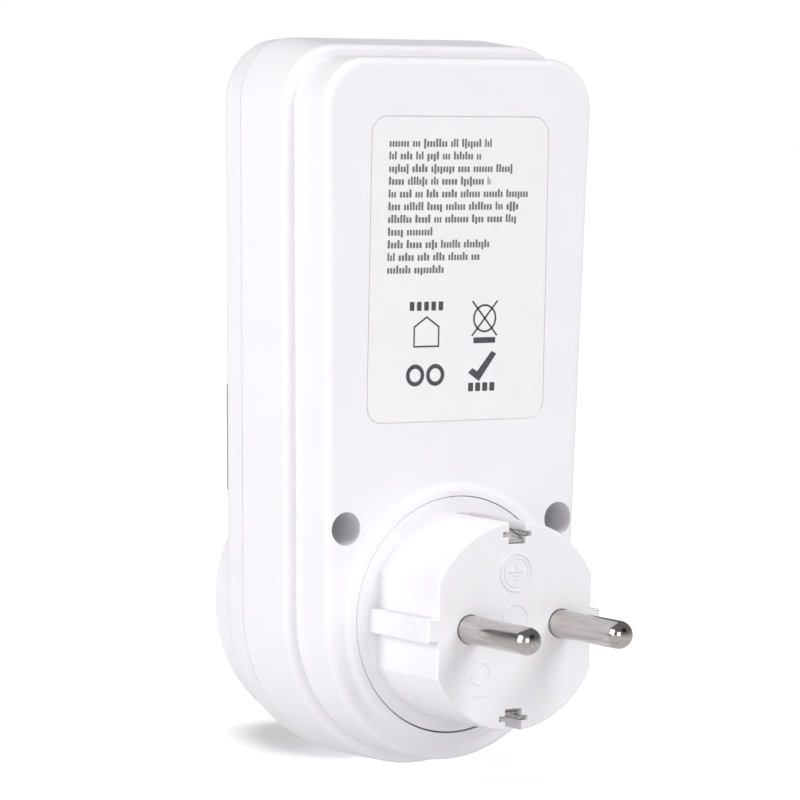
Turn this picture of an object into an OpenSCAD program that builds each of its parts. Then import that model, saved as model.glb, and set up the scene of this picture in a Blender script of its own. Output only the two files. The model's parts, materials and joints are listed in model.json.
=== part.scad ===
// Plug-in power meter: a case with a mains plug at the back, a socket at the
// front, a display and a row of keys, opened up into its separate pieces.
// Axes: origin at the centre of the plug's end face, +Y out of the back along
// the pins, +Z up, +X to the right of someone who looks at the display.

/* [Case] */
// Radius of the round lower end of the case
body_r = 27.9; // [27.8:0.05:28.2]
// Height of the case top above the plug axis
body_top = 99.2; // [98.6:0.1:101]
// Outward lean of each long side, in degrees
side_lean = 1.5; // [1.2:0.1:1.8]
// Radius of the two top corners
corner_r = 11; // [10:0.5:12.5]
// Wall thickness of both shells
wall = 2; // [1.8:0.1:2.1]
// Width of the ledge between the two steps of the rear housing
ledge = 1.7; // [1.5:0.1:1.8]
// Rounding of the rear edge
edge_r = 1.5; // [1.2:0.1:1.8]
// Fall of the case top behind the parting line
top_fall = 0.65; // [0.4:0.05:0.8]

/* [Plug] */
// Radius of the plug body
plug_r = 18; // [17.6:0.1:18.2]
// Distance from the plug axis to each flat side
plug_flat = 16; // [15.6:0.1:16.2]
// Height of the guide rib on each flat side
rib_h = 4.2; // [3.6:0.1:4.4]
// Radius of a plug pin
pin_r = 2.4; // [2.35:0.05:2.4]
// Length of a plug pin beyond the end face
pin_len = 19; // [18.6:0.1:19.4]
// Distance from the plug axis to each pin axis
pin_x = 9.5; // [9.4:0.05:9.6]

/* [Socket] */
// Radius of the socket recess
recess_r = 19.6; // [19.4:0.1:19.7]
// Outer radius of the raised socket ring
ring_r = 24.8; // [24.4:0.1:25]
// Radius of each pin hole in the socket floor
hole_r = 2.65; // [2.6:0.05:2.75]

/* [Display] */
// Width of the display window
win_w = 45; // [43:0.5:45.5]
// Height of the display window
win_h = 45; // [43:0.5:45]

/* [Keys] */
// Width of an oblong key
key_w = 7.2; // [6.6:0.1:7.4]
// Height of an oblong key
key_h = 6; // [5.4:0.1:6.4]
// Distance between neighbouring key axes
key_step = 9; // [8.9:0.1:9.2]

/* [Label] */
// Width of the rating label
label_w = 36.9; // [34:0.1:38]
// Height of the rating label
label_h = 52.4; // [46:0.1:53]

/* [Hidden] */
$fn = 64;

// planes along the depth, front to back
ring_y = -57.6;
front_y = -50;
part_y = -42.7;
step_y = -28.95;
rear_y = -19;
flange_y = -17.9;
inner_rear = rear_y - wall;
inner_front = front_y + wall;
floor_y = -39.7;      // socket floor, its front face
floor_back = -37.7;
draft = 0.3;          // how far each shell draws in over its depth
tier2 = ledge + draft + 0.15; // inset of the rear step's side wall
front_rad = 3;        // rounding of the front edge

// screw wells at the back
well_x = 22.3;
well_z = 15.75;
well_r = 2.95;
well_floor = -33;

// case outline
cp = cos(side_lean);
sp = sin(side_lean);
corner_z = body_top - corner_r;
corner_x = body_r / cp + corner_z * tan(side_lean) - corner_r / cp;

// key and window places
key_z = 32.3;
key_xs = [for (i = [-2:1]) i * key_step];
reset_x = 2 * key_step;
win_z = 68;
lab_z = 59.9;
lcd_y0 = -47.4;
lcd_y1 = -44.6;
pcb_y0 = -42.6;
pcb_y1 = -41.0;
pow_y0 = -25.1;
pow_y1 = -23.5;
case_white = [0.93, 0.93, 0.94];
steel = [0.78, 0.77, 0.75];
brass_c = [0.80, 0.66, 0.36];

// ---- helpers ----
// outline of the case, drawn in by off, its top lowered by fall
module prof(off = 0, fall = 0) {
  rb = body_r - off;
  rc = corner_r - off;
  kz = corner_z - fall;
  kx = corner_x - fall * tan(side_lean);
  circle(r = rb);
  for (s = [-1, 1]) translate([s * kx, kz]) circle(r = rc);
  polygon([[rb * cp, -rb * sp], [kx + rc * cp, kz - rc * sp],
    [kx, kz + rc], [-kx, kz + rc],
    [-kx - rc * cp, kz - rc * sp], [-rb * cp, -rb * sp]]);
}
// extrude an outline drawn in x and z, from y0 to y1
module slab(y0, y1) {
  translate([0, y1, 0]) rotate([90, 0, 0]) linear_extrude(y1 - y0) children();
}
// extrude an outline drawn in y and z, from x0 to x1
module strip(x0, x1) {
  translate([x0, 0, 0]) rotate([90, 0, 90]) linear_extrude(x1 - x0) children();
}
// box from two corners
module bx(x0, x1, y0, y1, z0, z1) {
  translate([x0, y0, z0]) cube([x1 - x0, y1 - y0, z1 - z0]);
}
// round bar along y
module cy(r, y0, y1, x = 0, z = 0) {
  translate([x, y0, z]) rotate([-90, 0, 0]) cylinder(r = r, h = y1 - y0);
}
// turned solid about the y axis, outline in radius and y
module rev() {
  rotate([-90, 0, 0]) rotate_extrude() children();
}
// rounded rectangle
module rr(w, h, r) {
  square([w - 2 * r, h], center = true);
  square([w, h - 2 * r], center = true);
  for (i = [-1, 1], j = [-1, 1]) translate([i * (w / 2 - r), j * (h / 2 - r)]) circle(r = r);
}
// layers of a rounded edge: [inset, y] from the side wall round to the face
function edge(r, off, yface, dir, n = 3) =
  [for (i = [0:n]) let (a = 90 * i / n) [off + r - r * cos(a), yface - dir * (r - r * sin(a))]];
module skin(layers, fall = 0) {
  hull() for (l = layers) slab(l[1] - 0.01, l[1]) prof(l[0], len(l) > 2 ? l[2] : fall);
}

// ---- case ----
// solid shape of the cover, before it is hollowed
module cover_skin() {
  skin(concat([[0, part_y]], edge(front_rad, draft, front_y + 0.01, -1, 4)));
}
module front_cover() {
  color(case_white) difference() {
    union() {
      difference() {
        cover_skin();
        slab(inner_front, part_y + 1) prof(wall);
      }
      // raised socket ring with a rounded rim
      rev() difference() {
        union() {
          translate([21, ring_y + 1.2]) square([ring_r - 21, inner_front - ring_y - 1.2]);
          translate([21, ring_y]) square([ring_r - 1.2 - 21, 2]);
          translate([ring_r - 1.2, ring_y + 1.2]) circle(r = 1.2);
        }
        translate([20, ring_y - 1]) square([2, 12]);
      }
      // lip that enters the rear housing
      difference() {
        union() {
          slab(part_y - 1.5, part_y) prof(wall - 0.1);
          slab(part_y - 0.1, part_y + 1.8) prof(wall + 0.1);
        }
        slab(part_y - 2, part_y + 2) prof(wall + 1.1);
      }
      // screw bosses, low
      for (s = [-1, 1]) cy(3.6, inner_front - 0.5, -36.2, s * well_x, well_z);
      // display board bosses
      for (s = [-1, 1]) {
        cy(2.2, inner_front - 0.5, pcb_y0, s * 22.2, 42);
        cy(2.0, inner_front - 0.5, pcb_y0, s * 15, 92.2);
      }
      // snap hooks along the top
      for (s = [-1, 1]) {
        bx(s * 9 - 2.5, s * 9 + 2.5, inner_front - 0.5, -36.4, body_top - wall - 2.3, body_top - wall - 1.1);
        bx(s * 9 - 2.5, s * 9 + 2.5, -37.9, -36.4, body_top - wall - 1.5, body_top - wall + 0.7);
      }
    }
    cy(22, ring_y - 1, inner_front + 1);
    for (s = [-1, 1]) {
      cy(1.5, -47, -36, s * well_x, well_z);
      cy(1.05, -46.6, pcb_y0 + 1, s * 22.2, 42);
      cy(1.05, -46.6, pcb_y0 + 1, s * 15, 92.2);
    }
    // window seat and opening
    slab(front_y - 1, front_y + 1.2) translate([0, win_z]) rr(win_w + 0.3, win_h + 0.3, 2.7);
    slab(front_y - 1, inner_front + 1) translate([0, win_z]) rr(win_w - 4.4, win_h - 4.8, 1.5);
    // key openings
    for (x = key_xs) slab(front_y - 1, inner_front + 1) translate([x, key_z]) rr(key_w + 0.6, key_h + 0.6, 1.8);
    cy(2.1, front_y - 1, inner_front + 1, reset_x, key_z);
  }
}
// membrane that lies on the cover from edge to edge and wraps round its front
// edge on both sides; its lower border is hollowed round the socket ring
module keypad_panel() {
  t = 0.25;
  color([0.30, 0.31, 0.33]) difference() {
    intersection() {
      skin(edge(front_rad + t, draft - t, front_y + 0.01 - t, -1, 4));
      bx(-40, 40, -60, -48.3, 20, 38.6);
    }
    cover_skin();
    cy(ring_r + 1.2, -60, -45);
    for (x = key_xs) slab(-60, -45) translate([x, key_z]) rr(key_w + 0.6, key_h + 0.6, 1.8);
    cy(2.1, -60, -45, reset_x, key_z);
  }
}
module rear_housing() {
  color(case_white) difference() {
    union() {
      difference() {
        union() {
          skin(concat([[0, part_y + 0.01, 0]], edge(ledge - 0.4, draft, step_y, 1, 4)), top_fall);
          skin(concat([[tier2, step_y - 3]], edge(edge_r, tier2 + 0.1, rear_y, 1, 4)), top_fall + 0.05);
        }
        slab(part_y - 1, step_y - 1.6) prof(wall);
        slab(step_y - 3, inner_rear) prof(tier2 + wall - 0.1, top_fall);
      }
      // collar round the plug
      rev() difference() {
        union() {
          translate([20.7, inner_rear]) square([22.5 - 20.7, 2.05]);
          translate([20.7, rear_y]) square([0.7, 1.2]);
          translate([21.4, rear_y]) intersection() {
            circle(r = 1.2);
            translate([0, -0.02]) square([3, 3]);
          }
        }
      }
      // screw wells
      intersection() {
        for (s = [-1, 1]) cy(4.6, -36, inner_rear + 0.5, s * well_x, well_z);
        union() {
          slab(-36, step_y - 1) prof(1);
          slab(step_y - 2, inner_rear + 0.5) prof(tier2 + 0.8);
        }
      }
      // hooks that hold the plug insert
      for (a = [0, 90, 180, 270]) rotate([0, a, 0]) {
        bx(22.4, 23.5, -23.7, inner_rear + 0.4, -2.5, 2.5);
        bx(21.6, 23.5, -23.7, -22.6, -2.5, 2.5);
      }
      // posts of the power board
      for (s = [-1, 1]) {
        cy(2.6, pow_y1, inner_rear + 0.5, s * 19.8, 31.5);
        cy(2.6, pow_y1, inner_rear + 0.5, s * 17.5, 88);
      }
    }
    cy(20.7, -26, flange_y + 1);
    for (s = [-1, 1]) {
      cy(well_r, well_floor, rear_y + 1, s * well_x, well_z);
      cy(1.65, -37, well_floor + 1, s * well_x, well_z);
      cy(1.05, -24, -20.3, s * 19.8, 31.5);
      cy(1.05, -24, -20.3, s * 17.5, 88);
    }
    // label seat
    slab(rear_y - 0.25, rear_y + 1) translate([0, lab_z]) rr(label_w + 0.3, label_h + 0.3, 3.15);
    // pockets for the front cover's hooks
    for (s = [-1, 1]) bx(s * 9 - 2.8, s * 9 + 2.8, -38.3, -36.1, body_top - wall - 1, body_top - wall + 1);
  }
}
module rating_label() {
  color([0.90, 0.90, 0.90]) slab(rear_y - 0.25, rear_y - 0.05)
    translate([0, lab_z]) rr(label_w, label_h, 3);
}

// ---- plug ----
module plug_2d(r = plug_r, f = plug_flat) {
  intersection() {
    circle(r = r);
    union() {
      square([2 * f, 3 * r], center = true);
      square([3 * r, rib_h], center = true);
    }
  }
}
module plug_insert() {
  color(case_white) difference() {
    union() {
      slab(-21, 0) plug_2d();
      cy(20.4, -21.05, flange_y);
      cy(22.2, -22.5, -21.05);
    }
    // hollow behind the end wall
    slab(-23, -3) intersection() {
      circle(r = 15.2);
      square([25.8, 24.4], center = true);
    }
    // pin holes are left by filling the hollow with two bosses below
    plug_cuts();
  }
  color(case_white) for (s = [-1, 1]) difference() {
    cy(4.2, -9.05, -2.9, s * pin_x, 0);
    cy(2.2, -10, 0, s * pin_x, 0);
    bx(s > 0 ? 12.9 : -20, s > 0 ? 20 : -12.9, -10, -3, -6, 6);
  }
}
// pin holes and the two earth channels, top and bottom
module plug_cuts() {
  for (s = [-1, 1]) cy(2.2, -4, 1, s * pin_x, 0);
  for (s = [-1, 1]) {
    bx(-1.75, 1.75, -16.6, 1, s > 0 ? 14.15 : -19, s > 0 ? 19 : -14.15);
    bx(-2.95, 2.95, -23, 1, s > 0 ? 15.35 : -16.25, s > 0 ? 16.25 : -15.35);
  }
}
module pin(s) {
  color(steel) {
    translate([s * pin_x, 0, 0]) rotate([-90, 0, 0]) rotate_extrude() union() {
      square([pin_r, pin_len - pin_r]);
      translate([0, -9.1]) square([2.2, 9.2]);
      translate([0, -10.2]) square([3.4, 1.1]);
      translate([0, -11]) square([1.6, 1]);
      translate([0, -11.7]) square([2.3, 0.8]);
      intersection() {
        translate([0, pin_len - pin_r]) circle(r = pin_r);
        translate([0, pin_len - pin_r - 0.1]) square([5, 5]);
      }
    }
  }
}
module pin_live() { pin(1); }
module pin_neutral() { pin(-1); }
module plug_earth_clip() {
  color(steel) {
    difference() {
      bx(-2.85, 2.85, -23.2, -22.6, -16.15, 16.15);
      cy(1.2, -24, -22);
    }
    for (s = [0, 1]) mirror([0, 0, s]) {
      difference() {
        bx(-2.85, 2.85, -22.7, -0.6, 15.45, 16.15);
        bx(-1.6, 1.6, -15, -4, 15, 17);
      }
      // bowed tongue and hooked end
      strip(-1.5, 1.5) polygon([[-15.2, 15.45], [-15.2, 16.15], [-12, 17.25], [-7, 17.25],
        [-3.8, 16.15], [-3.8, 15.45], [-7.1, 16.55], [-11.9, 16.55]]);
      strip(-1.6, 1.6) polygon([[-1.3, 15.5], [-0.6, 15.5], [-0.6, 14.3], [-5, 14.3], [-5, 14.8], [-1.3, 14.8]]);
    }
  }
}

// ---- display ----
module display_window() {
  color([0.55, 0.62, 0.60, 0.5]) slab(front_y - 0.1, front_y + 1.2)
    translate([0, win_z]) rr(win_w, win_h, 2.5);
}
module lcd_panel() {
  color([0.62, 0.68, 0.60]) bx(-20.8, 20.8, lcd_y0, lcd_y1, win_z - 20.6, win_z + 20.6);
}
module lcd_reflector() {
  color([0.92, 0.92, 0.90]) bx(-20.4, 20.4, lcd_y1, -43, win_z - 18, win_z + 17.8);
}
module lcd_holder() {
  color([0.85, 0.85, 0.86]) difference() {
    bx(-22.4, 22.4, -47.9, pcb_y0, win_z - 22.2, win_z + 21.6);
    bx(-21, 21, -47.5, pcb_y0 + 1, win_z - 20.8, win_z + 20.8);
    bx(-19.6, 19.6, -49, -47, win_z - 19.4, win_z + 19.4);
  }
}
module zebra_strips() {
  color([0.75, 0.45, 0.50]) for (z = [win_z - 20.3, win_z + 18.3])
    bx(-19, 19, lcd_y1, pcb_y0, z, z + 2);
}
module display_board() {
  color([0.10, 0.35, 0.20]) difference() {
    intersection() {
      slab(pcb_y0, pcb_y1) prof(4.7);
      bx(-40, 40, pcb_y0 - 1, pcb_y1 + 1, 27.2, 99);
    }
    for (s = [-1, 1]) {
      cy(1.3, pcb_y0 - 1, pcb_y1 + 1, s * 22.2, 42);
      cy(1.3, pcb_y0 - 1, pcb_y1 + 1, s * 15, 92.2);
    }
  }
}
module tact_switches() {
  color([0.12, 0.12, 0.13]) for (x = concat(key_xs, [reset_x])) difference() {
    bx(x - 3, x + 3, -46.1, pcb_y0, key_z - 3, key_z + 3);
    cy(1.8, -47, -44.2, x, key_z);
  }
}
module key_at(x) {
  color([0.86, 0.87, 0.88]) {
    slab(-51.4, -47.6) translate([x, key_z]) rr(key_w, key_h, 1.5);
    slab(-47.7, -47.15) translate([x, key_z]) rr(key_w + 1.3, key_h + 1.3, 1.5);
  }
}
module key_mode() { key_at(key_xs[0]); }
module key_set() { key_at(key_xs[1]); }
module key_down() { key_at(key_xs[2]); }
module key_up() { key_at(key_xs[3]); }
module key_reset() {
  color([0.75, 0.20, 0.18]) {
    cy(1.8, -50.5, -47.6, reset_x, key_z);
    cy(3.1, -47.7, -47.15, reset_x, key_z);
  }
}
module plunger_at(x) {
  color([0.20, 0.20, 0.22]) cy(1.5, -47.15, -44.9, x, key_z);
}
module plunger_mode() { plunger_at(key_xs[0]); }
module plunger_set() { plunger_at(key_xs[1]); }
module plunger_down() { plunger_at(key_xs[2]); }
module plunger_up() { plunger_at(key_xs[3]); }
module plunger_reset() { plunger_at(reset_x); }

// ---- socket ----
module socket_well() {
  color(case_white) difference() {
    union() {
      difference() {
        union() {
          cy(21.8, ring_y, floor_back);
          cy(23.3, inner_front + 0.05, -46.45);
        }
        slab(ring_y - 1, floor_y) intersection() {
          circle(r = recess_r);
          union() {
            square([2 * plug_flat + 1, 50], center = true);
            square([2 * recess_r - 0.8, rib_h + 0.9], center = true);
          }
        }
      }
      for (i = [-1, 1], j = [-1, 1]) cy(2.2, floor_back - 0.5, -35.2, i * 14, j * 13);
      // post of the shutter spring
      cy(0.6, floor_back - 0.5, -35.6, 8.85, -14.3);
    }
    for (s = [-1, 1]) cy(hole_r, floor_y - 1, floor_back + 1, s * pin_x, 0);
    // slots of the earth springs
    for (s = [0, 1]) mirror([0, 0, s]) bx(-3.2, 3.2, -54, floor_back + 1, 18.4, 23.5);
    cy(1.5, -39, floor_back + 1);
    for (i = [-1, 1], j = [-1, 1]) cy(1.15, -39, -35, i * 14, j * 13);
    // rounded entry edge
    rev() polygon([[recess_r - 0.1, ring_y + 0.7], [recess_r - 0.1, ring_y - 0.1], [recess_r + 0.8, ring_y - 0.1]]);
  }
}
module socket_shutter() {
  color([0.85, 0.55, 0.20]) cy(0.45, -36.25, -35.75, 8.1 * cos(100), -8.1 * sin(100));
  color([0.85, 0.55, 0.20]) difference() {
    slab(-37.4, -36.2) union() {
      circle(r = 3.4);
      intersection() {
        circle(r = 12.8);
        polygon([[0, 0], [20, 6.9], [20, -6.9]]);
      }
      intersection() {
        circle(r = 12.8);
        polygon([[0, 0], [-20, 6.9], [-20, -6.9]]);
      }
      // arm of the spring
      rotate([0, 0, -100]) translate([4.4, 0]) square([8.8, 1.6], center = true);
    }
    cy(1.56, -39, -35);
    // sloped faces that the pins push on
    for (a = [0, 180]) rotate([0, a, 0]) translate([0, -37.4, 0])
      strip(7, 12) polygon([[-1, 6], [0.8, 6], [-0.01, -1.5], [-1, -1.5]]);
  }
}
module shutter_pivot() {
  color(steel) {
    cy(1.5, -39, -35.9);
    cy(2.6, -35.9, -35.3);
  }
}
// closed-coil tension spring between the shutter's arm and the socket floor
module shutter_spring() {
  color(steel) translate([0.2, -36.8, -9.35]) rotate([0, 30, 0]) {
    rotate([0, 90, 0]) rotate_extrude($fn = 32) {
      translate([0.35, 1.4]) square([0.3, 6.4]);
      for (i = [0:12]) translate([0.62, 1.6 + i * 0.5]) circle(r = 0.26, $fn = 24);
    }
    bx(-1.5, 1.9, 0.75, 1, -0.15, 0.15);
    bx(7.7, 9.35, -0.2, 0.2, -0.5, 0.5);
  }
}
module contact_carrier() {
  color([0.20, 0.20, 0.21]) difference() {
    union() {
      slab(-35.2, -33.7) rr(33, 31, 4);
      bx(-15.5, 15.5, -33.8, -24.5, -6.2, 6.2);
    }
    for (i = [-1, 1]) {
      cy(3.5, -34.4, -24, i * pin_x, 0);
      cy(2.8, -36, -34, i * pin_x, 0);
      bx(i > 0 ? 5.4 : -16, i > 0 ? 16 : -5.4, -26.1, -24, -3.3, 3.3);
      bx(i > 0 ? 11.7 : -16, i > 0 ? 16 : -11.7, -26.1, -24, 3, 7);
      for (j = [-1, 1]) cy(1.3, -36, -33, i * 14, j * 13);
    }
  }
}
module carrier_screws() {
  color(steel) for (i = [-1, 1], j = [-1, 1]) difference() {
    union() {
      cy(2.1, -33.7, -32.4, i * 14, j * 13);
      cy(1.1, -38.6, -33.6, i * 14, j * 13);
    }
    translate([i * 14, -32.6, j * 13]) rotate([0, 45, 0]) {
      bx(-1.3, 1.3, -0.3, 1, -0.25, 0.25);
      bx(-0.25, 0.25, -0.3, 1, -1.3, 1.3);
    }
  }
}
// slotted tube that grips a pin, on a flat strip; s is the side
module tulip(s) {
  difference() {
    union() {
      cy(3.3, -34.2, -25.2, s * pin_x, 0);
      bx(s > 0 ? 6 : -15.4, s > 0 ? 15.4 : -6, -25.7, -25.1, -3, 3);
    }
    cy(2.5, -35, -24, s * pin_x, 0);
    bx(s * pin_x - 4, s * pin_x + 4, -35, -26.4, -0.4, 0.4);
    bx(s * pin_x - 0.4, s * pin_x + 0.4, -35, -26.4, -4, 4);
  }
}
module contact_live() {
  color(brass_c) {
    tulip(1);
    bx(12.1, 15.4, -25.7, -25.1, 2.9, 31);
  }
}
module contact_neutral() {
  color(brass_c) {
    tulip(-1);
    bx(-15.4, -12.1, -25.7, -25.1, 2.9, 29.6);
    bx(-12.7, -12.1, -25.2, -10.2, -2.4, 2.4);
    difference() {
      bx(-12.7, -6.9, -10.9, -10.2, -2.4, 2.4);
      cy(1.6, -12, -10, -pin_x, 0);
    }
  }
}
module live_feed() {
  color(brass_c) {
    difference() {
      bx(6.9, 12.7, -10.9, -10.2, -2.4, 2.4);
      cy(1.6, -12, -10, pin_x, 0);
    }
    bx(12.1, 12.7, -23.5, -10.2, -2.4, 2.4);
    bx(12.1, 15.5, -23.5, -22.9, -2.4, 41);
  }
}
module shunt_strip() {
  color([0.72, 0.48, 0.33]) strip(12.4, 15.2) polygon([[-26.3, 28], [-25.7, 28], [-25.7, 31.6],
    [-28.1, 32.6], [-28.1, 36.4], [-25.7, 37.4], [-25.1, 37.4], [-25.1, 41], [-25.8, 41], [-25.8, 38.2],
    [-28.8, 37], [-28.8, 32], [-26.3, 31]]);
}
module socket_earth_clip() {
  color(steel) {
    difference() {
      bx(-2.8, 2.8, -23.8, -23.2, -20.55, 20.55);
      cy(1.2, -25, -22);
    }
    for (s = [0, 1]) mirror([0, 0, s]) strip(-2.8, 2.8)
      polygon([[-23.3, 19.9], [-23.3, 20.55], [-46, 20.55], [-49.2, 17.95], [-52, 20.3], [-53.3, 20.3],
        [-53.3, 19.65], [-52.2, 19.65], [-49.2, 17.1], [-45.8, 19.9]]);
  }
}
module earth_rivet() {
  color(brass_c) {
    cy(1.2, -23.9, -22.5);
    cy(2.2, -24.3, -23.8);
    cy(2.2, -22.6, -22.1);
  }
}

// ---- electronics ----
module power_board() {
  color([0.45, 0.30, 0.12]) difference() {
    intersection() {
      slab(pow_y0, pow_y1) prof(5.5);
      bx(-40, 40, pow_y0 - 1, pow_y1 + 1, 26.8, 99);
    }
    for (s = [-1, 1]) {
      cy(1.3, pow_y0 - 1, pow_y1 + 1, s * 19.8, 31.5);
      cy(1.3, pow_y0 - 1, pow_y1 + 1, s * 17.5, 88);
    }
  }
}
module film_capacitor() {
  color([0.85, 0.70, 0.20]) translate([-8, -31.5, 34.5]) rotate([0, 0, 0])
    translate([-8.5, -6.3, -4.2]) cube([17, 12.7, 8.4]);
}
module electrolytic_capacitor() {
  color([0.10, 0.12, 0.30]) translate([-13, -30.3, 42]) rotate_extrude() union() {
    square([5, 13.2]);
    translate([0, 13.8]) square([5, 1.2]);
    translate([0, 13]) square([4.6, 1]);
  }
}
module varistor() {
  color([0.15, 0.35, 0.65]) {
    translate([4, -31, 35]) rotate([0, 90, 0]) cylinder(r = 5.1, h = 4.2);
    bx(5.7, 6.5, -26.2, pow_y0, 32, 33);
    bx(5.7, 6.5, -26.2, pow_y0, 37, 38);
  }
}
module fuse_resistor() {
  color([0.30, 0.55, 0.45]) {
    translate([3, -27.4, 47]) rotate([0, 90, 0]) cylinder(r = 1.8, h = 10);
    for (x = [0.6, 14.6]) bx(x, x + 0.8, -27.8, pow_y0, 46.6, 47.4);
    bx(0.6, 15.4, -27.8, -27.0, 46.6, 47.4);
  }
}
module metering_chip() {
  color([0.12, 0.12, 0.13]) bx(-2, 4, -26.9, -25.3, 58, 62);
  color(steel) for (i = [0:3]) bx(-1.6 + i * 1.6, -1.2 + i * 1.6, -26, pow_y0, 56.8, 63.2);
}
module board_ribbon() {
  color([0.80, 0.80, 0.78]) bx(-6, 6, pcb_y1, pow_y0, 84.6, 85.4);
}
module backup_battery() {
  color(steel) {
    cy(7.7, -40.4, -35, 9, 74);
    cy(6.6, -35.1, -34.6, 9, 74);
  }
}
module battery_holder() {
  color([0.15, 0.15, 0.16]) difference() {
    cy(8.9, pcb_y1, -37.6, 9, 74);
    cy(7.8, -40.45, -37, 9, 74);
  }
}
module controller_blob() {
  color([0.06, 0.06, 0.07]) rev_at(-11, 66) polygon([[0, pcb_y1], [5.1, pcb_y1],
    [4.9, pcb_y1 + 0.5], [4.1, pcb_y1 + 1.05], [2.6, pcb_y1 + 1.45], [0, pcb_y1 + 1.6]]);
}
module crystal() {
  color(steel) translate([-14, pcb_y1 + 1.05, 52]) rotate([0, 90, 0]) cylinder(r = 1, h = 6);
}

// ---- fasteners ----
module screw_y(x, z, yh, hr, hh, sr, tip) {
  color(steel) difference() {
    union() {
      rev_at(x, z) polygon([[0, yh], [hr, yh], [hr, yh + hh * 0.55], [hr * 0.7, yh + hh], [0, yh + hh]]);
      rev_at(x, z) polygon([[0, tip], [sr * 0.5, tip], [sr, tip + 1.2], [sr, yh + 0.1], [0, yh + 0.1]]);
    }
    translate([x, yh + hh - 0.6, z]) rotate([0, 30, 0]) {
      bx(-hr * 0.6, hr * 0.6, 0, 2, -0.3, 0.3);
      bx(-0.3, 0.3, 0, 2, -hr * 0.6, hr * 0.6);
    }
  }
}
module rev_at(x, z) {
  translate([x, 0, z]) rotate([-90, 0, 0]) rotate_extrude() children();
}
module housing_screws() {
  for (s = [-1, 1]) screw_y(s * well_x, well_z, well_floor, 2.6, 1.8, 1.4, -45.6);
}
module display_board_screws() {
  for (s = [-1, 1]) {
    screw_y(s * 22.2, 42, pcb_y1, 1.9, 1.3, 1, -46);
    screw_y(s * 15, 92.2, pcb_y1, 1.9, 1.3, 1, -46);
  }
}
module power_board_screws() {
  for (s = [-1, 1]) {
    mirror([0, 1, 0]) screw_y(s * 19.8, 31.5, -pow_y0, 1.9, 1.3, 1, 20.6);
    mirror([0, 1, 0]) screw_y(s * 17.5, 88, -pow_y0, 1.9, 1.3, 1, 20.6);
  }
}

front_cover();
rear_housing();
plug_insert();
pin_live();
pin_neutral();
plug_earth_clip();
rating_label();
display_window();
keypad_panel();
lcd_panel();
lcd_reflector();
lcd_holder();
zebra_strips();
display_board();
tact_switches();
key_mode();
key_set();
key_up();
key_down();
key_reset();
plunger_mode();
plunger_set();
plunger_up();
plunger_down();
plunger_reset();
socket_well();
socket_shutter();
shutter_pivot();
shutter_spring();
contact_carrier();
carrier_screws();
contact_live();
contact_neutral();
live_feed();
shunt_strip();
socket_earth_clip();
earth_rivet();
power_board();
film_capacitor();
electrolytic_capacitor();
varistor();
fuse_resistor();
metering_chip();
board_ribbon();
backup_battery();
battery_holder();
controller_blob();
crystal();
housing_screws();
display_board_screws();
power_board_screws();
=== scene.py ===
import bpy, bmesh, json, math, random
from mathutils import Matrix, Vector


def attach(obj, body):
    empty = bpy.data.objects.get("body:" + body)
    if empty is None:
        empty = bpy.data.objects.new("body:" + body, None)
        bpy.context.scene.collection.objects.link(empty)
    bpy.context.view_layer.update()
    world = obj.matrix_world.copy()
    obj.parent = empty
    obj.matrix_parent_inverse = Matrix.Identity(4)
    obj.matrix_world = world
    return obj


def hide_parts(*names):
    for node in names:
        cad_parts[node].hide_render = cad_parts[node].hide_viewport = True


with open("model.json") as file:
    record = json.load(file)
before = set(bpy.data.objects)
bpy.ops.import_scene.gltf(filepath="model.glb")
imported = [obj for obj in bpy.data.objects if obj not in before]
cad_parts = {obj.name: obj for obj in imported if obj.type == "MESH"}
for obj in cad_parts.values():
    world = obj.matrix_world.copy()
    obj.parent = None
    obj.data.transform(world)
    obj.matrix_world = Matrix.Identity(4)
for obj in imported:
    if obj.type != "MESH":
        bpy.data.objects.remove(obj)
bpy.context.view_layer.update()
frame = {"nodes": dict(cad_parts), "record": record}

scene = bpy.context.scene
COL = scene.collection
PI = math.pi

# ------------------------------------------------------------------ sizes, mm
BR, TOP, CR, LEAN = 27.9, 99.2, 11.0, math.radians(1.5)
CP, SP = math.cos(LEAN), math.sin(LEAN)
CZ = TOP - CR
CX = BR / CP + CZ * math.tan(LEAN) - CR / CP
WALL, LEDGE, DRAFT, EDGE, FALL = 2.0, 1.7, 0.3, 1.5, 0.65
TIER2 = LEDGE + DRAFT + 0.15
RING_Y, FRONT_Y, PART_Y, STEP_Y, REAR_Y, FLANGE_Y = -57.6, -50.0, -42.7, -28.95, -19.0, -17.9
IN_REAR, IN_FRONT = REAR_Y - WALL, FRONT_Y + WALL
FLOOR_Y, FLOOR_B = -39.7, -37.7
FRAD = 3.0
WX, WZ, WR = 22.3, 15.75, 2.95
KZ, KSTEP, KW, KH = 32.3, 9.0, 7.2, 6.0
KXS = [-18.0, -9.0, 0.0, 9.0]
RX = 18.0
WINZ, WINW, WINH = 68.0, 45.0, 45.0
LABZ, LABW, LABH = 59.9, 36.9, 52.4
RING_R, REC_R, HOLE_R = 24.8, 19.6, 2.65
PIN_R, PIN_L, PIN_X = 2.4, 19.0, 9.5
PCB0, PCB1, POW0, POW1 = -42.6, -41.0, -25.1, -23.5


# ------------------------------------------------------------ solids from code
def solid(verts, faces, name="w"):
    me = bpy.data.meshes.new(name)
    me.from_pydata([tuple(v) for v in verts], [], faces)
    bm = bmesh.new()
    bm.from_mesh(me)
    bmesh.ops.remove_doubles(bm, verts=bm.verts, dist=1e-5)
    bmesh.ops.recalc_face_normals(bm, faces=bm.faces)
    bm.to_mesh(me)
    bm.free()
    ob = bpy.data.objects.new(name, me)
    COL.objects.link(ob)
    return ob


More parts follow.
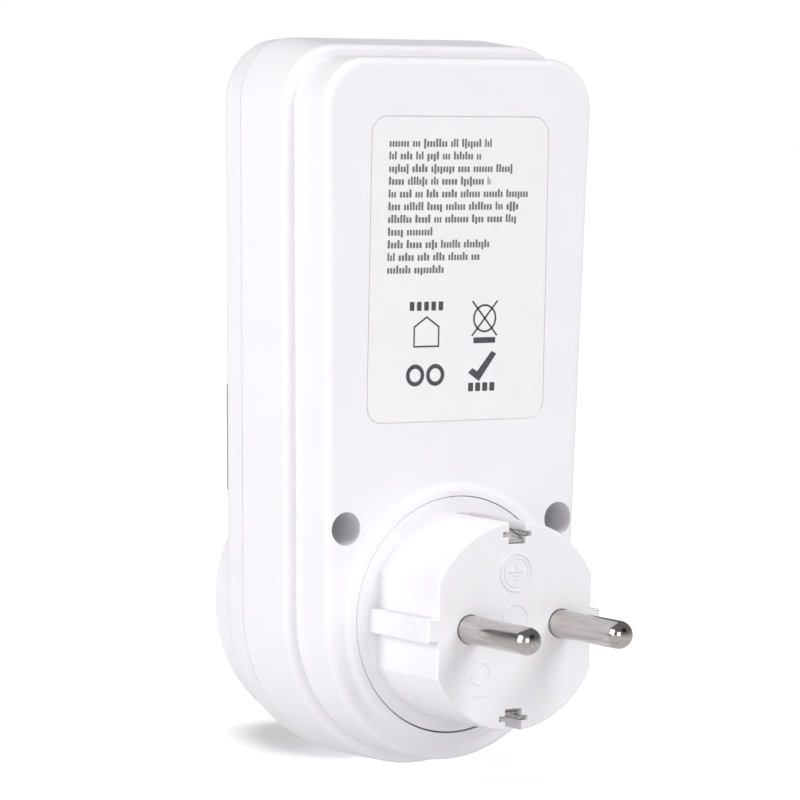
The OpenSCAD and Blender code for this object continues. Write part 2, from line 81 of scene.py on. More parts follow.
def arc(cx, cz, r, a0, a1, n):
    return [(cx + r * math.cos(a0 + (a1 - a0) * i / n), cz + r * math.sin(a0 + (a1 - a0) * i / n)) for i in range(n + 1)]


def lerp(p, q, n):
    return [(p[0] + (q[0] - p[0]) * i / n, p[1] + (q[1] - p[1]) * i / n) for i in range(1, n)]


def outline(off=0.0, nb=120, nc=30, fall=0.0):
    """The case's outline in x and z, drawn in by off, its top lowered by fall; always the same number of points."""
    rb, rc = BR - off, CR - off
    cx, cz = CX - fall * math.tan(LEAN), CZ - fall
    right = arc(cx, cz, rc, -LEAN, PI / 2, nc)
    left = arc(-cx, cz, rc, PI / 2, PI + LEAN, nc)
    low = arc(0, 0, rb, PI + LEAN, 2 * PI - LEAN, nb)
    return right + lerp(right[-1], left[0], 6) + left + lerp(left[-1], low[0], 8) + low + lerp(low[-1], right[0], 8)


def edge(r, off, yface, d, n):
    return [(off + r - r * math.cos(PI / 2 * i / n), yface - d * (r - r * math.sin(PI / 2 * i / n))) for i in range(n + 1)]


def loft(rings):
    n = len(rings[0][0])
    verts, faces = [], []
    for pts, y in rings:
        verts += [(x, y, z) for x, z in pts]
    for k in range(len(rings) - 1):
        for i in range(n):
            j = (i + 1) % n
            faces.append((k * n + i, k * n + j, (k + 1) * n + j, (k + 1) * n + i))
    faces.append(tuple(range(n)))
    faces.append(tuple(range((len(rings) - 1) * n, len(rings) * n))[::-1])
    return solid(verts, faces)


def shell(layers, fall=0.0):
    return loft([(outline(l[0], fall=l[2] if len(l) > 2 else fall), l[1]) for l in layers])


def slab(pts, y0, y1):
    return loft([(pts, y0), (pts, y1)])


def cyl(r, y0, y1, x=0.0, z=0.0, n=96):
    return slab([(x + r * math.cos(2 * PI * i / n), z + r * math.sin(2 * PI * i / n)) for i in range(n)], y0, y1)


def box(x0, x1, y0, y1, z0, z1):
    return slab([(x0, z0), (x1, z0), (x1, z1), (x0, z1)], y0, y1)


def rr(w, h, r, cx=0.0, cz=0.0, n=8):
    a, b = w / 2 - r, h / 2 - r
    return (arc(cx + a, cz - b, r, -PI / 2, 0, n) + arc(cx + a, cz + b, r, 0, PI / 2, n)
            + arc(cx - a, cz + b, r, PI / 2, PI, n) + arc(cx - a, cz - b, r, PI, 1.5 * PI, n))


def turned(prof, x=0.0, z=0.0, n=128):
    """Closed outline in radius and y, turned about a line along y."""
    m = len(prof)
    verts, faces = [], []
    for i in range(n):
        a = 2 * PI * i / n
        verts += [(x + r * math.cos(a), y, z + r * math.sin(a)) for r, y in prof]
    for i in range(n):
        j = (i + 1) % n
        for k in range(m):
            l = (k + 1) % m
            if prof[k][0] < 1e-6 and prof[l][0] < 1e-6:
                continue
            faces.append((i * m + k, i * m + l, j * m + l, j * m + k))
    bm = bmesh.new()
    vs = [bm.verts.new(v) for v in verts]
    for f in faces:
        try:
            bm.faces.new([vs[q] for q in f])
        except ValueError:
            pass
    bmesh.ops.remove_doubles(bm, verts=bm.verts, dist=1e-5)
    bmesh.ops.dissolve_degenerate(bm, edges=bm.edges, dist=1e-5)
    bmesh.ops.recalc_face_normals(bm, faces=bm.faces)
    me = bpy.data.meshes.new("w")
    bm.to_mesh(me)
    bm.free()
    ob = bpy.data.objects.new("w", me)
    COL.objects.link(ob)
    return ob


def strip(pts, x0, x1):
    """Outline in y and z, pulled out from x0 to x1."""
    n = len(pts)
    verts = [(x0, y, z) for y, z in pts] + [(x1, y, z) for y, z in pts]
    faces = [(i, (i + 1) % n, n + (i + 1) % n, n + i) for i in range(n)]
    faces += [tuple(range(n))[::-1], tuple(range(n, 2 * n))]
    return solid(verts, faces)


def ribbon(path, t):
    """Outline of a strip of thickness t that follows a path in y and z."""
    up, dn = [], []
    for i, (y, z) in enumerate(path):
        a = path[max(i - 1, 0)]
        b = path[min(i + 1, len(path) - 1)]
        dy, dz = b[0] - a[0], b[1] - a[1]
        l = math.hypot(dy, dz)
        up.append((y - dz / l * t / 2, z + dy / l * t / 2))
        dn.append((y + dz / l * t / 2, z - dy / l * t / 2))
    return up + dn[::-1]


def smooth_path(pts, r, n=5):
    """Rounds the corners of a path with radius about r."""
    out = [pts[0]]
    for a, b, c in zip(pts, pts[1:], pts[2:]):
        va, vc = (a[0] - b[0], a[1] - b[1]), (c[0] - b[0], c[1] - b[1])
        la, lc = math.hypot(*va), math.hypot(*vc)
        k = min(r, la * 0.45, lc * 0.45)
        p = (b[0] + va[0] / la * k, b[1] + va[1] / la * k)
        q = (b[0] + vc[0] / lc * k, b[1] + vc[1] / lc * k)
        for i in range(n + 1):
            u = i / n
            out.append(((1 - u) ** 2 * p[0] + 2 * u * (1 - u) * b[0] + u * u * q[0],
                        (1 - u) ** 2 * p[1] + 2 * u * (1 - u) * b[1] + u * u * q[1]))
    out.append(pts[-1])
    return out


def _bool(a, b, op):
    me = None
    for solver in ("MANIFOLD", "EXACT"):
        m = a.modifiers.new("b", "BOOLEAN")
        m.operation, m.object, m.solver = op, b, solver
        dg = bpy.context.evaluated_depsgraph_get()
        dg.update()
        me = bpy.data.meshes.new_from_object(a.evaluated_get(dg))
        a.modifiers.remove(m)
        if len(me.polygons) > 3:
            break
    old = a.data
    a.data = me
    bpy.data.meshes.remove(old)
    drop(b)
    return a


def drop(ob):
    me = ob.data
    bpy.data.objects.remove(ob)
    bpy.data.meshes.remove(me)


def cut(a, *bs):
    for b in bs:
        a = _bool(a, b, "DIFFERENCE")
    return a


def add(a, *bs):
    for b in bs:
        a = _bool(a, b, "UNION")
    return a


def common(a, b):
    return _bool(a, b, "INTERSECT")


def turn_about_y(ob, deg):
    ob.data.transform(Matrix.Rotation(math.radians(deg), 4, "Y"))
    return ob


def mirror_z(ob):
    ob.data.transform(Matrix.Scale(-1, 4, (0, 0, 1)))
    ob.data.flip_normals()
    return ob


def copy_of(ob):
    o = bpy.data.objects.new("w", ob.data.copy())
    COL.objects.link(o)
    return o


def split_holed(bm):
    """A flat face with a hole in it touches itself along one edge; such a face is cut into triangles."""
    holed = {l.face for e in bm.edges for l in e.link_loops if sum(1 for k in e.link_loops if k.face is l.face) > 1}
    if holed:
        bmesh.ops.triangulate(bm, faces=list(holed), quad_method="BEAUTY", ngon_method="BEAUTY")


def round_edges(ob, width, test, seg=4):
    """Rounds the sharp edges whose two ends both pass the test."""
    bm = bmesh.new()
    bm.from_mesh(ob.data)
    bmesh.ops.dissolve_limit(bm, angle_limit=math.radians(0.2), verts=bm.verts, edges=bm.edges)
    split_holed(bm)
    es = [e for e in bm.edges if len(e.link_faces) == 2 and e.calc_face_angle(0) > math.radians(20)
          and test(e.verts[0].co) and test(e.verts[1].co)]
    bmesh.ops.bevel(bm, geom=es, offset=width, offset_type="OFFSET", segments=seg, profile=0.5, affect="EDGES", clamp_overlap=False)
    bm.to_mesh(ob.data)
    bm.free()
    return ob


def finish(ob, name, mat, body="meter", nodes=(), bevel=0.1, seg=2, angle=20, clean=True, weld=2e-4, tri=None):
    """Small rounding on every sharp edge, smooth shading, metres, and the ride."""
    if clean:
        bm = bmesh.new()
        bm.from_mesh(ob.data)
        bmesh.ops.remove_doubles(bm, verts=bm.verts, dist=weld)
        bmesh.ops.dissolve_limit(bm, angle_limit=math.radians(0.2), verts=bm.verts, edges=bm.edges)
        if tri:
            picked = [f for f in bm.faces if len(f.verts) > 4 and tri(f.calc_center_median())]
            bmesh.ops.triangulate(bm, faces=picked, quad_method="BEAUTY", ngon_method="BEAUTY")
        split_holed(bm)
        bm.to_mesh(ob.data)
        bm.free()
    if bevel:
        m = ob.modifiers.new("v", "BEVEL")
        m.width, m.segments, m.limit_method, m.angle_limit = bevel, seg, "ANGLE", math.radians(angle)
        m.use_clamp_overlap, m.miter_outer = False, "MITER_ARC"
        dg = bpy.context.evaluated_depsgraph_get()
        dg.update()
        me = bpy.data.meshes.new_from_object(ob.evaluated_get(dg))
        ob.modifiers.clear()
        old = ob.data
        ob.data = me
        bpy.data.meshes.remove(old)
    me = ob.data
    me.transform(Matrix.Scale(0.001, 4))
    for p in me.polygons:
        p.use_smooth = True
    me.set_sharp_from_angle(angle=math.radians(38))
    me.materials.clear()
    me.materials.append(mat)
    ob.name = name
    me.name = name
    w = ob.modifiers.new("normals", "WEIGHTED_NORMAL")
    w.keep_sharp, w.weight = True, 60
    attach(ob, body)
    if nodes:
        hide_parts(*nodes)
    return ob


# ------------------------------------------------------------------ materials
def material(name, color, rough=0.45, metal=0.0, spec=0.5, grain=0.0, grain_mm=0.25, blotch=0.0, blotch_mm=12.0,
             rough_var=0.0, rough_mm=4.0, bump_mm=0.01, wave=0.0, wave_mm=0.2, coat=0.0, alpha=1.0, transmission=0.0, ior=1.5,
             brush=None, spots=None, sss=0.0, painted_reflection_streaks=False):
    """A Principled material whose colour, roughness and relief come from procedural noise at a stated scale in mm."""
    m = bpy.data.materials.new(name)
    m.use_nodes = True
    nt = m.node_tree
    nt.nodes.clear()
    out = nt.nodes.new("ShaderNodeOutputMaterial")
    bsdf = nt.nodes.new("ShaderNodeBsdfPrincipled")
    nt.links.new(bsdf.outputs[0], out.inputs[0])
    co = nt.nodes.new("ShaderNodeTexCoord")
    bsdf.inputs["Metallic"].default_value = metal
    bsdf.inputs["Specular IOR Level"].default_value = spec
    bsdf.inputs["IOR"].default_value = ior
    bsdf.inputs["Coat Weight"].default_value = coat
    bsdf.inputs["Alpha"].default_value = alpha
    bsdf.inputs["Transmission Weight"].default_value = transmission
    bsdf.inputs["Base Color"].default_value = (*color, 1)
    bsdf.inputs["Roughness"].default_value = rough
    if sss:
        bsdf.inputs["Subsurface Weight"].default_value = sss
        bsdf.inputs["Subsurface Radius"].default_value = (1.0, 0.9, 0.8)
        bsdf.inputs["Subsurface Scale"].default_value = 0.0006

    def noise(mm, detail=2.0, stretch=None, rough_=0.5):
        n = nt.nodes.new("ShaderNodeTexNoise")
        n.inputs["Scale"].default_value = 1000.0 / mm
        n.inputs["Detail"].default_value = detail
        n.inputs["Roughness"].default_value = rough_
        src = co.outputs["Object"]
        if stretch:
            mp = nt.nodes.new("ShaderNodeMapping")
            mp.inputs["Scale"].default_value = stretch
            nt.links.new(src, mp.inputs[0])
            src = mp.outputs[0]
        nt.links.new(src, n.inputs["Vector"])
        return n

    def ramp(src, lo, hi, a=0.3, b=0.7):
        r = nt.nodes.new("ShaderNodeMapRange")
        r.inputs["From Min"].default_value, r.inputs["From Max"].default_value = a, b
        r.inputs["To Min"].default_value, r.inputs["To Max"].default_value = lo, hi
        nt.links.new(src, r.inputs["Value"])
        return r.outputs[0]

    if blotch:
        # random tone blotches; with the streak flag set they are stretched along the brush into long darker and lighter
        # bands, which are painted reflection streaks
        n = noise(blotch_mm, 3.0, brush if painted_reflection_streaks else None)
        mix = nt.nodes.new("ShaderNodeMix")
        mix.data_type = "RGBA"
        lo = tuple(c * (1 - blotch) for c in color)
        hi = tuple(min(1.0, c * (1 + blotch)) for c in color)
        mix.inputs[6].default_value = (*lo, 1)
        mix.inputs[7].default_value = (*hi, 1)
        nt.links.new(ramp(n.outputs["Fac"], 0, 1), mix.inputs[0])
        col = mix.outputs[2]
        if spots:
            s = noise(spots[0], 0.0)
            m2 = nt.nodes.new("ShaderNodeMix")
            m2.data_type = "RGBA"
            m2.inputs[7].default_value = (*spots[1], 1)
            nt.links.new(col, m2.inputs[6])
            nt.links.new(ramp(s.outputs["Fac"], 0, 1, spots[2], spots[2] + 0.02), m2.inputs[0])
            col = m2.outputs[2]
        nt.links.new(col, bsdf.inputs["Base Color"])
    if rough_var:
        n = noise(rough_mm, 3.0, brush)
        nt.links.new(ramp(n.outputs["Fac"], rough - rough_var, rough + rough_var), bsdf.inputs["Roughness"])
    if grain:
        n = noise(grain_mm, 2.0, brush, 0.6)
        b = nt.nodes.new("ShaderNodeBump")
        b.inputs["Strength"].default_value = grain
        b.inputs["Distance"].default_value = bump_mm / 1000.0
        nt.links.new(n.outputs["Fac"], b.inputs["Height"])
        nt.links.new(b.outputs[0], bsdf.inputs["Normal"])
    return m


MAT = {
    "case_plastic": material("case_plastic", (0.835, 0.825, 0.85), 0.46, grain=0.5, grain_mm=0.3, bump_mm=0.012, blotch=0.008, blotch_mm=9, rough_var=0.05, rough_mm=2.0, spec=0.4, sss=0.06),
    "insert_plastic": material("insert_plastic", (0.83, 0.82, 0.845), 0.36, grain=0.35, grain_mm=0.5, bump_mm=0.01, blotch=0.01, blotch_mm=5, rough_var=0.06, rough_mm=1.5, spec=0.45, sss=0.08),
    "label_film": material("label_film", (0.84, 0.83, 0.845), 0.5, grain=0.25, grain_mm=0.5, bump_mm=0.006, blotch=0.012, blotch_mm=6, rough_var=0.06, rough_mm=3),
    "label_ink": material("label_ink", (0.075, 0.075, 0.085), 0.5, blotch=0.25, blotch_mm=0.6, rough_var=0.08, rough_mm=0.5),
    "label_ink_light": material("label_ink_light", (0.17, 0.17, 0.18), 0.5, blotch=0.2, blotch_mm=0.5, rough_var=0.08, rough_mm=0.5),
    "window_plastic": material("window_plastic", (1.0, 1.0, 1.0), 0.06, transmission=1.0, ior=1.45, grain=0.02, grain_mm=3.0, bump_mm=0.01, rough_var=0.02, rough_mm=5),
    "window_print": material("window_print", (0.05, 0.053, 0.057), 0.3, blotch=0.1, blotch_mm=3, rough_var=0.05, rough_mm=2),
    "keypad_film": material("keypad_film", (0.115, 0.12, 0.128), 0.42, grain=0.5, grain_mm=0.22, bump_mm=0.01, blotch=0.06, blotch_mm=5, rough_var=0.06, rough_mm=1.5),
    "keypad_print": material("keypad_print", (0.72, 0.73, 0.74), 0.5, blotch=0.05, blotch_mm=0.8, rough_var=0.05, rough_mm=0.6),
    "lcd_glass": material("lcd_glass", (0.40, 0.46, 0.39), 0.16, grain=0.05, grain_mm=1.5, blotch=0.03, blotch_mm=14, rough_var=0.04, rough_mm=4, coat=0.3),
    "lcd_ink": material("lcd_ink", (0.035, 0.04, 0.05), 0.25, blotch=0.15, blotch_mm=2, rough_var=0.05, rough_mm=1),
    "reflector_plastic": material("reflector_plastic", (0.80, 0.80, 0.78), 0.45, grain=0.3, blotch=0.02, blotch_mm=6, rough_var=0.05),
    "zebra_rubber": material("zebra_rubber", (0.62, 0.33, 0.38), 0.75, grain=0.6, grain_mm=0.15, blotch=0.1, blotch_mm=0.4, brush=(1, 1, 0.05), rough_var=0.08),
    "board_green": material("board_green", (0.02, 0.13, 0.06), 0.3, grain=0.4, grain_mm=0.9, bump_mm=0.02, blotch=0.35, blotch_mm=1.8, rough_var=0.08, rough_mm=1.0, spots=(2.2, (0.55, 0.42, 0.12), 0.68), coat=0.4),
    "board_brown": material("board_brown", (0.33, 0.19, 0.07), 0.5, grain=0.5, grain_mm=0.5, bump_mm=0.02, blotch=0.2, blotch_mm=2.5, rough_var=0.08, spots=(2.6, (0.50, 0.49, 0.45), 0.69)),
    "black_plastic": material("black_plastic", (0.03, 0.03, 0.032), 0.5, grain=0.5, grain_mm=0.3, blotch=0.15, blotch_mm=1.5, rough_var=0.08),
    "key_plastic": material("key_plastic", (0.66, 0.67, 0.68), 0.42, grain=0.45, grain_mm=0.25, bump_mm=0.01, blotch=0.02, blotch_mm=3, rough_var=0.06, rough_mm=1.2),
    "key_print": material("key_print", (0.08, 0.085, 0.095), 0.5, blotch=0.2, blotch_mm=0.6, rough_var=0.06, rough_mm=0.5),
    "reset_plastic": material("reset_plastic", (0.52, 0.035, 0.03), 0.42, grain=0.4, grain_mm=0.25, blotch=0.05, blotch_mm=2, rough_var=0.06),
    "shutter_plastic": material("shutter_plastic", (0.74, 0.33, 0.05), 0.45, grain=0.4, grain_mm=0.3, blotch=0.04, blotch_mm=3, rough_var=0.06),
    # nickel: random tone, and its blotches stretched along the pins into painted reflection streaks that stand in for
    # reflected dark surroundings
    "nickel": material("nickel", (0.60, 0.575, 0.55), 0.17, metal=1.0, grain=0.22, grain_mm=0.22, bump_mm=0.004, brush=(1, 0.12, 1), blotch=0.12, blotch_mm=0.6, painted_reflection_streaks=True, rough_var=0.06, rough_mm=0.5),
    "spring_steel": material("spring_steel", (0.70, 0.685, 0.66), 0.27, metal=1.0, grain=0.08, grain_mm=0.3, bump_mm=0.003, brush=(1, 0.2, 1), blotch=0.04, blotch_mm=1.2, rough_var=0.03, rough_mm=0.8),
    "screw_steel": material("screw_steel", (0.45, 0.45, 0.46), 0.32, metal=1.0, grain=0.3, grain_mm=0.25, bump_mm=0.006, blotch=0.08, blotch_mm=0.8, rough_var=0.08, rough_mm=0.7),
    "brass": material("brass", (0.72, 0.52, 0.22), 0.3, metal=1.0, grain=0.25, grain_mm=0.2, bump_mm=0.005, brush=(1, 1, 0.15), blotch=0.08, blotch_mm=2.5, rough_var=0.08, rough_mm=0.9),
    "shunt_metal": material("shunt_metal", (0.56, 0.36, 0.25), 0.36, metal=1.0, grain=0.3, grain_mm=0.25, blotch=0.1, blotch_mm=1.5, rough_var=0.08),
    "film_box": material("film_box", (0.68, 0.50, 0.06), 0.32, grain=0.2, grain_mm=1.0, blotch=0.05, blotch_mm=4, rough_var=0.05),
    "capacitor_sleeve": material("capacitor_sleeve", (0.02, 0.03, 0.12), 0.25, grain=0.15, grain_mm=1.5, blotch=0.15, blotch_mm=3, rough_var=0.05, coat=0.3),
    "varistor_coat": material("varistor_coat", (0.04, 0.13, 0.36), 0.3, grain=0.5, grain_mm=0.8, bump_mm=0.03, blotch=0.1, blotch_mm=1.5, rough_var=0.06),
    "resistor_coat": material("resistor_coat", (0.12, 0.33, 0.25), 0.5, grain=0.5, grain_mm=0.4, bump_mm=0.02, blotch=0.1, blotch_mm=1.0, rough_var=0.06),
    "ribbon": material("ribbon", (0.62, 0.62, 0.60), 0.5, grain=0.5, grain_mm=0.5, brush=(2, 0.05, 0.05), blotch=0.1, blotch_mm=1.2, rough_var=0.05),
    "cell_steel": material("cell_steel", (0.62, 0.62, 0.61), 0.22, metal=1.0, grain=0.2, grain_mm=0.3, blotch=0.04, blotch_mm=2.5, rough_var=0.06),
    "crystal_can": material("crystal_can", (0.64, 0.64, 0.64), 0.2, metal=1.0, grain=0.2, grain_mm=0.4, blotch=0.05, blotch_mm=1, rough_var=0.05),
}


# ---------------------------------------------------------------- rear housing
def rear_housing():
    a = shell([(0, PART_Y + 0.09, 0)] + edge(LEDGE - 0.4, DRAFT, STEP_Y, 1, 8)
              + [(TIER2, STEP_Y, FALL + 0.05)] + [(o, y, FALL + 0.05) for o, y in edge(EDGE, TIER2 + 0.1, REAR_Y, 1, 9)], FALL)
    inner = add(shell([(WALL, PART_Y - 1), (WALL, STEP_Y - 1.6)]),
                shell([(TIER2 + WALL - 0.1, STEP_Y - 3), (TIER2 + WALL - 0.1, IN_REAR)], FALL))
    a = cut(a, inner)
    for s in (-1, 1):
        keep = add(shell([(1, -36.5), (1, STEP_Y - 1)]), shell([(TIER2 + 0.8, STEP_Y - 2), (TIER2 + 0.8, IN_REAR + 0.5)]))
        a = add(a, common(cyl(4.6, -36, IN_REAR + 0.5, s * WX, WZ), keep))
    for q in (0, 90, 180, 270):
        hook = add(box(22.4, 23.5, -23.7, IN_REAR + 0.4, -2.5, 2.5), box(21.6, 23.0, -23.7, -22.6, -2.5, 2.5))
        a = add(a, turn_about_y(hook, q))
    for s in (-1, 1):
        a = add(a, cyl(2.6, POW1, IN_REAR + 0.5, s * 19.8, 31.5), cyl(2.6, POW1, IN_REAR + 0.5, s * 17.5, 88))
    # collar with a rounded lip and a small root fillet
    lip = [(20.0, -20.5), (20.0, -17.8), (21.4, -17.8)]
    root = 1.0
    turn = math.atan2(math.sqrt(1.44 + 2.4 * root), root)
    lip += [(21.4 + 1.2 * math.sin(turn * i / 7), -19 + 1.2 * math.cos(turn * i / 7)) for i in range(1, 8)]
    cx = 21.4 + math.sqrt(1.44 + 2.4 * root)
    lip += [(cx - root * math.sin(turn * (7 - i) / 7), REAR_Y - 0.012 + root - root * math.cos(turn * (7 - i) / 7)) for i in range(1, 8)]
    lip += [(cx + 0.02, -20.5)]
    a = add(a, turned(lip, n=192))
    a = cut(a, cyl(20.7, -26, FLANGE_Y + 1, n=192))
    for s in (-1, 1):
        a = cut(a, cyl(WR - 0.08, -33, REAR_Y + 1, s * WX, WZ), cyl(1.65, -37, -32, s * WX, WZ, 48),
                cyl(1.05, -24, -20.3, s * 19.8, 31.5, 32), cyl(1.05, -24, -20.3, s * 17.5, 88, 32))
        a = cut(a, box(s * 9 - 2.8, s * 9 + 2.8, -38.3, -36.1, TOP - WALL - 1, TOP - WALL + 1))
    a = cut(a, slab(rr(LABW + 0.3, LABH + 0.3, 3.15, 0, LABZ, 12), REAR_Y - 0.25, REAR_Y + 1))
    return finish(a, "rear_housing_shell", MAT["case_plastic"], nodes=["rear_housing"], bevel=0.09)


# ----------------------------------------------------------------- front cover
def cover_skin(t=0.0):
    return shell(([(0, PART_Y)] if not t else []) + edge(FRAD + t, DRAFT - t, FRONT_Y - t, -1, 12))


def front_cover():
    a = cover_skin()
    a = cut(a, shell([(WALL, PART_Y + 1), (WALL, IN_FRONT)]))
    ring = [(21, IN_FRONT), (21, RING_Y), (RING_R - 1.2, RING_Y)]
    ring += [(RING_R - 1.2 + 1.2 * math.sin(PI / 2 * i / 8), RING_Y + 1.2 - 1.2 * math.cos(PI / 2 * i / 8)) for i in range(1, 9)]
    ring += [(RING_R, FRONT_Y - 0.6)]
    ring += [(RING_R + 0.6 - 0.6 * math.cos(PI / 2 * i / 5), FRONT_Y - 0.6 + 0.6 * math.sin(PI / 2 * i / 5)) for i in range(1, 6)]
    ring += [(RING_R + 0.6, FRONT_Y + 0.5), (RING_R, IN_FRONT)]
    a = add(a, turned(ring, n=192))
    lipo = add(shell([(WALL - 0.1, PART_Y - 1.5), (WALL - 0.1, PART_Y)]), shell([(WALL + 0.1, PART_Y - 0.1), (WALL + 0.1, PART_Y + 1.8)]))
    a = add(a, cut(lipo, shell([(WALL + 1.1, PART_Y - 2), (WALL + 1.1, PART_Y + 2)])))
    for s in (-1, 1):
        a = add(a, cyl(3.6, IN_FRONT - 0.5, -36.2, s * WX, WZ), cyl(2.2, IN_FRONT - 0.5, PCB0, s * 22.2, 42), cyl(2.0, IN_FRONT - 0.5, PCB0, s * 15, 92.2))
        a = add(a, box(s * 9 - 2.5, s * 9 + 2.5, IN_FRONT - 0.5, -36.4, TOP - WALL - 2.3, TOP - WALL - 1.1),
                box(s * 9 - 2.5, s * 9 + 2.5, -37.9, -36.4, TOP - WALL - 1.5, TOP - WALL + 0.7))
    a = cut(a, cyl(22, RING_Y - 1, IN_FRONT + 1, n=192))
    for s in (-1, 1):
        a = cut(a, cyl(1.5, -47, -36, s * WX, WZ, 32), cyl(1.05, -46.6, PCB0 + 1, s * 22.2, 42, 32), cyl(1.05, -46.6, PCB0 + 1, s * 15, 92.2, 32))
    a = cut(a, slab(rr(WINW + 0.3, WINH + 0.3, 2.7, 0, WINZ, 12), FRONT_Y - 1, FRONT_Y + 1.2))
    a = cut(a, slab(rr(WINW - 4.4, WINH - 4.8, 1.5, 0, WINZ, 10), FRONT_Y - 1, IN_FRONT + 1))
    for x in KXS:
        a = cut(a, slab(rr(KW + 0.6, KH + 0.6, 1.8, x, KZ, 10), FRONT_Y - 1, IN_FRONT + 1))
    a = cut(a, cyl(2.1, FRONT_Y - 1, IN_FRONT + 1, RX, KZ, 48))
    return finish(a, "front_cover_shell", MAT["case_plastic"], nodes=["front_cover"], bevel=0.09, tri=lambda c: True)


def keypad_panel():
    t = 0.12
    a = common(cover_skin(t), box(-40, 40, -60, -48.5, 20, 38.6))
    a = cut(a, cover_skin(), cyl(RING_R + 1.2, -60, -45, n=192))
    for x in KXS:
        a = cut(a, slab(rr(KW + 0.6, KH + 0.6, 1.8, x, KZ, 10), -60, -45))
    a = cut(a, cyl(2.1, -60, -45, RX, KZ, 48))
    finish(a, "keypad_membrane", MAT["keypad_film"], nodes=["keypad_panel"], bevel=0.03)
    # pale printed frames round the keys
    for i, x in enumerate(KXS):
        f = cut(slab(rr(KW + 1.35, KH + 1.35, 2.1, x, KZ, 10), -50.145, -50.11), slab(rr(KW + 1.0, KH + 1.0, 1.95, x, KZ, 10), -51, -50))
        finish(f, "key_frame_%d" % (i + 1), MAT["keypad_print"], bevel=0)
    f = cut(cyl(2.75, -50.145, -50.11, RX, KZ, 64), cyl(2.55, -51, -50, RX, KZ, 64))
    finish(f, "key_frame_5", MAT["keypad_print"], bevel=0)


# ------------------------------------------------------------------------ keys
def keycap(x, y0, y1, w, h, r, crown=0.25):
    """Cap with a rounded rim and a slightly crowned top at y0, the front."""
    rings = [(rr(w, h, r, x, KZ, 10), y1), (rr(w, h, r, x, KZ, 10), y0 + 0.75)]
    for i in range(1, 7):
        a = PI / 2 * i / 6
        d = 0.55 * (1 - math.cos(a))
        rings.append((rr(w - 2 * d, h - 2 * d, max(r - d, 0.2), x, KZ, 10), y0 + 0.75 - 0.55 * math.sin(a)))
    for i in range(1, 6):
        u = i / 5.0
        k = 1 - u * 0.9
        rings.append((rr((w - 1.1) * k, (h - 1.1) * k, max((r - 0.55) * k, 0.08), x, KZ, 10), y0 + 0.2 - crown * 0.8 * (1 - (1 - u) ** 2) + 0.0))
    return loft(rings)


def keys():
    names = ["mode", "set", "down", "up"]
    for name, x in zip(names, KXS):
        a = add(keycap(x, -51.4, -47.6, KW, KH, 1.5), slab(rr(KW + 1.3, KH + 1.3, 1.5, x, KZ, 10), -47.7, -47.15))
        finish(a, "keycap_" + name, MAT["key_plastic"], body=name + "_key", nodes=["key_" + name], bevel=0.06)
        y0, y1 = -51.44, -51.30
        if name == "mode":
            g = cut(cyl(1.15, y0, y1, x, KZ, 48), cyl(0.8, -52, -51, x, KZ, 48))
        elif name == "set":
            g = cut(slab(rr(2.2, 2.2, 0.3, x, KZ), y0, y1), slab(rr(1.5, 1.5, 0.15, x, KZ), -52, -51))
        else:
            d = 1 if name == "up" else -1
            g = slab([(x - 1.25, KZ - 0.75 * d), (x + 1.25, KZ - 0.75 * d), (x, KZ + 1.2 * d)][::d], y0, y1)
        finish(g, "key_mark_" + name, MAT["key_print"], body=name + "_key", bevel=0)
    cap = [(0, -50.5), (0.7, -50.49), (1.25, -50.44), (1.6, -50.3), (1.77, -50.1), (1.8, -49.85), (1.8, -47.7), (3.1, -47.7), (3.1, -47.15), (0, -47.15)]
    a = turned(cap, RX, KZ, 64)
    finish(a, "keycap_reset", MAT["reset_plastic"], body="reset_key", nodes=["key_reset"], bevel=0.05)


# --------------------------------------------------------------------- display
def seven(ch, x, z, w, h, t, y0, y1, made):
    """One seven-segment figure with its lower left at x, z."""
    segs = {"0": "abcdef", "1": "bc", "2": "abged", "3": "abgcd", "4": "fgbc", "5": "afgcd", "6": "afgedc", "7": "abc", "8": "abcdefg", "9": "abfgcd"}[ch]
    g, s = 0.12, t * 0.5
    hh = h / 2
    bars = {"a": (x, z + h, 0), "g": (x, z + hh, 0), "d": (x, z, 0), "f": (x, z + hh, 1), "b": (x + w, z + hh, 1), "e": (x, z, 1), "c": (x + w, z, 1)}
    for k in segs:
        bx_, bz, up = bars[k]
        l = hh if up else w
        p = [(g, 0), (g + s, s), (l - g - s, s), (l - g, 0), (l - g - s, -s), (g + s, -s)]
        pts = [(bx_ + (b if up else a_), bz + (a_ if up else b)) for a_, b in p]
        slant = [(px + (pz - z) * 0.08, pz) for px, pz in pts]
        made.append(slab(slant, y0, y1))


def joined(parts, name):
    """Several loose solids as one object."""
    bm = bmesh.new()
    for o in parts:
        bm.from_mesh(o.data)
        drop(o)
    me = bpy.data.meshes.new(name)
    bmesh.ops.recalc_face_normals(bm, faces=bm.faces)
    bm.to_mesh(me)
    bm.free()
    ob = bpy.data.objects.new(name, me)
    COL.objects.link(ob)
    return ob


